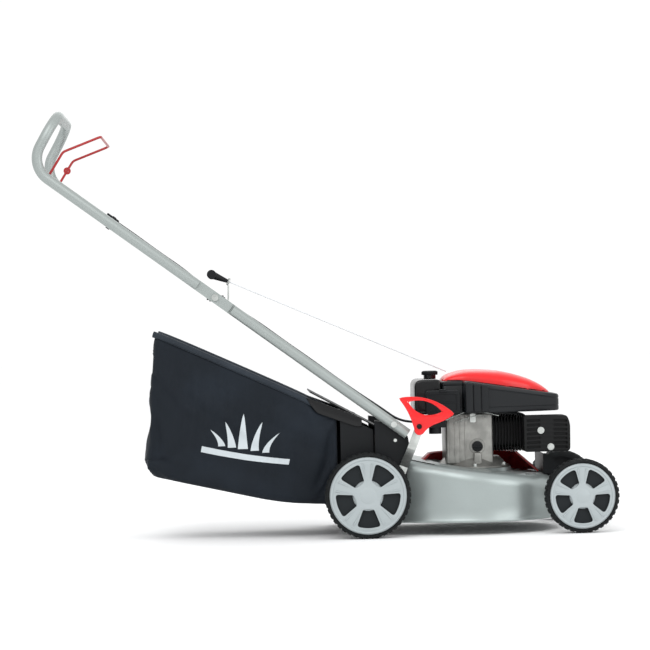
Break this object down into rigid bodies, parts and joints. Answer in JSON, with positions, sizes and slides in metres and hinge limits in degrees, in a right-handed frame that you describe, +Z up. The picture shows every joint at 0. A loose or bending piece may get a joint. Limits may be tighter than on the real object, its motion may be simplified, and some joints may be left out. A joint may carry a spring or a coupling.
{
  "type": "push lawn mower",
  "caption": "Petrol push lawn mower: round silver steel deck, folding tube handle with red stop bail, red-topped engine, spoked wheels, height lever and rear fabric grass bag.",
  "frame": {"origin": "on the ground under the middle of the mower's overall length and width", "axes": "+X forward, the way the mower is pushed, +Y to the operator's left, +Z up"},
  "size_m": [1.3657, 0.47, 1.0303],
  "materials": {
    "deck_paint": "silver powder coat",
    "silver_tube": "silver powder coat",
    "silver_plastic": "silver painted moulding",
    "black_plastic": "fine texture",
    "gloss_black": "semi-gloss",
    "red_plastic": "gloss",
    "red_paint": "dipped red coating",
    "tyre_rubber": "matt rubber",
    "bag_fabric": "woven polyester",
    "cast_aluminium": "as cast",
    "black_metal": "heat resistant black",
    "zinc_steel": "zinc plated",
    "cable_sheath": "extruded plastic",
    "rope": "braided cord"
  },
  "bodies": {
    "chassis": {"air_filter_box": "black_plastic", "blower_housing": "gloss_black", "brake_cable_lower": "cable_sheath", "carburettor": "black_plastic", "crankcase": "cast_aluminium", "cylinder": "black_metal", "cylinder_head": "black_metal", "deck_shell": "deck_paint", "deck_trim": "red_plastic", "discharge_chute": "black_plastic", "engine_base": "cast_aluminium", "engine_bolts": "zinc_steel", "flap_rod": "zinc_steel", "front_brackets": "zinc_steel", "front_cover": "black_plastic", "fuel_tank": "gloss_black", "handle_bolts": "zinc_steel", "handle_knobs": "black_plastic", "lower_handle_left": "silver_tube", "lower_handle_right": "silver_tube", "muffler": "black_metal", "muffler_guard": "black_metal", "piston": "cast_aluminium", "rear_brackets": "black_plastic", "recoil_cover": "red_plastic", "rope_guide": "zinc_steel", "spark_plug": "zinc_steel", "starter_rope": "rope"},
    "rear_axle": {"rear_axle": "zinc_steel", "height_lever": "red_plastic"},
    "front_axle": {"front_axle": "zinc_steel"},
    "height_link": {"height_link": "zinc_steel"},
    "handle": {"upper_handlebar": "silver_tube", "cable_adjuster": "black_plastic", "brake_cable_upper": "cable_sheath"},
    "bail": {"stop_bail": "red_paint"},
    "flap": {"rear_flap": "black_plastic"},
    "catcher": {"catcher_bag": "bag_fabric", "catcher_frame": "black_plastic"},
    "crank": {"crankshaft": "zinc_steel", "flywheel": "cast_aluminium", "blade": "black_metal", "blade_adapter": "zinc_steel", "blade_bolt": "zinc_steel"},
    "reel": {"starter_reel": "black_plastic"},
    "grip": {"starter_grip": "black_plastic"},
    "fuel_cap": {"fuel_cap": "black_plastic"},
    "oil_cap": {"oil_cap": "black_plastic"},
    "rear_right_wheel": {"rear_right_wheel": "black_plastic", "rear_right_tyre": "tyre_rubber", "rear_right_wheel_trim": "silver_plastic"},
    "rear_left_wheel": {"rear_left_wheel": "black_plastic", "rear_left_tyre": "tyre_rubber", "rear_left_wheel_trim": "silver_plastic"},
    "front_right_wheel": {"front_right_wheel": "black_plastic", "front_right_tyre": "tyre_rubber", "front_right_wheel_trim": "silver_plastic"},
    "front_left_wheel": {"front_left_wheel": "black_plastic", "front_left_tyre": "tyre_rubber", "front_left_wheel_trim": "silver_plastic"}
  },
  "joints": [
    {"name": "cutting_height", "type": "hinge", "parent": "chassis", "child": "rear_axle", "pos_m": [0.1493, 0, 0.0951], "axis": [0, -1, 0], "range_deg": [0, 50]},
    {"name": "front_height", "type": "hinge", "parent": "chassis", "child": "front_axle", "pos_m": [0.6553, 0, 0.0811], "axis": [0, -1, 0], "range_deg": [0, 50]},
    {"name": "link_swing", "type": "hinge", "parent": "rear_axle", "child": "height_link", "pos_m": [0.1493, 0.15, 0.1301], "axis": [0, -1, 0], "range_deg": [-50, 0]},
    {"name": "handle_fold", "type": "hinge", "parent": "chassis", "child": "handle", "pos_m": [-0.2592, 0, 0.577], "axis": [0, 1, 0], "range_deg": [0, 135]},
    {"name": "stop_bail_squeeze", "type": "hinge", "parent": "handle", "child": "bail", "pos_m": [-0.64916, 0, 0.86872], "axis": [0, -1, 0], "range_deg": [0, 34], "stiffness_Nm_per_rad": 0.6},
    {"name": "flap_lift", "type": "hinge", "parent": "chassis", "child": "flap", "pos_m": [0.1593, 0, 0.228], "axis": [0, 1, 0], "range_deg": [0, 40], "stiffness_Nm_per_rad": 0.8},
    {"name": "catcher_removal", "type": "slide", "parent": "chassis", "child": "catcher", "axis": [-1, 0, 0], "range_m": [0, 0.3]},
    {"name": "crank_spin", "type": "hinge", "parent": "chassis", "child": "crank", "pos_m": [0.3553, 0, 0.1], "axis": [0, 0, 1], "continuous": true},
    {"name": "starter_reel_spin", "type": "hinge", "parent": "chassis", "child": "reel", "pos_m": [0.3553, 0, 0.363], "axis": [0, 0, 1], "range_deg": [0, 982], "stiffness_Nm_per_rad": 0.01},
    {"name": "starter_pull", "type": "slide", "parent": "chassis", "child": "grip", "axis": [-0.5001, -0.1, 0.8602], "range_m": [0, 0.6]},
    {"name": "fuel_cap_turn", "type": "hinge", "parent": "chassis", "child": "fuel_cap", "pos_m": [0.2593, 0.035, 0.38], "axis": [0, 0, 1], "range_deg": [0, 90]},
    {"name": "oil_cap_turn", "type": "hinge", "parent": "chassis", "child": "oil_cap", "pos_m": [0.3633, -0.07, 0.203], "axis": [0, -1, 0], "range_deg": [0, 90]},
    {"name": "rear_right_wheel_spin", "type": "hinge", "parent": "rear_axle", "child": "rear_right_wheel", "pos_m": [0.0893, 0, 0.1015], "axis": [0, 1, 0], "continuous": true},
    {"name": "rear_left_wheel_spin", "type": "hinge", "parent": "rear_axle", "child": "rear_left_wheel", "pos_m": [0.0893, 0, 0.1015], "axis": [0, 1, 0], "continuous": true},
    {"name": "front_right_wheel_spin", "type": "hinge", "parent": "front_axle", "child": "front_right_wheel", "pos_m": [0.5953, 0, 0.0875], "axis": [0, 1, 0], "continuous": true},
    {"name": "front_left_wheel_spin", "type": "hinge", "parent": "front_axle", "child": "front_left_wheel", "pos_m": [0.5953, 0, 0.0875], "axis": [0, 1, 0], "continuous": true}
  ],
  "couplings": [
    {"joint": "front_height", "follows": "cutting_height", "ratio": 1},
    {"joint": "link_swing", "follows": "cutting_height", "ratio": -1},
    {"joint": "starter_pull", "follows": "starter_reel_spin", "m_per_rad": 0.035}
  ]
}
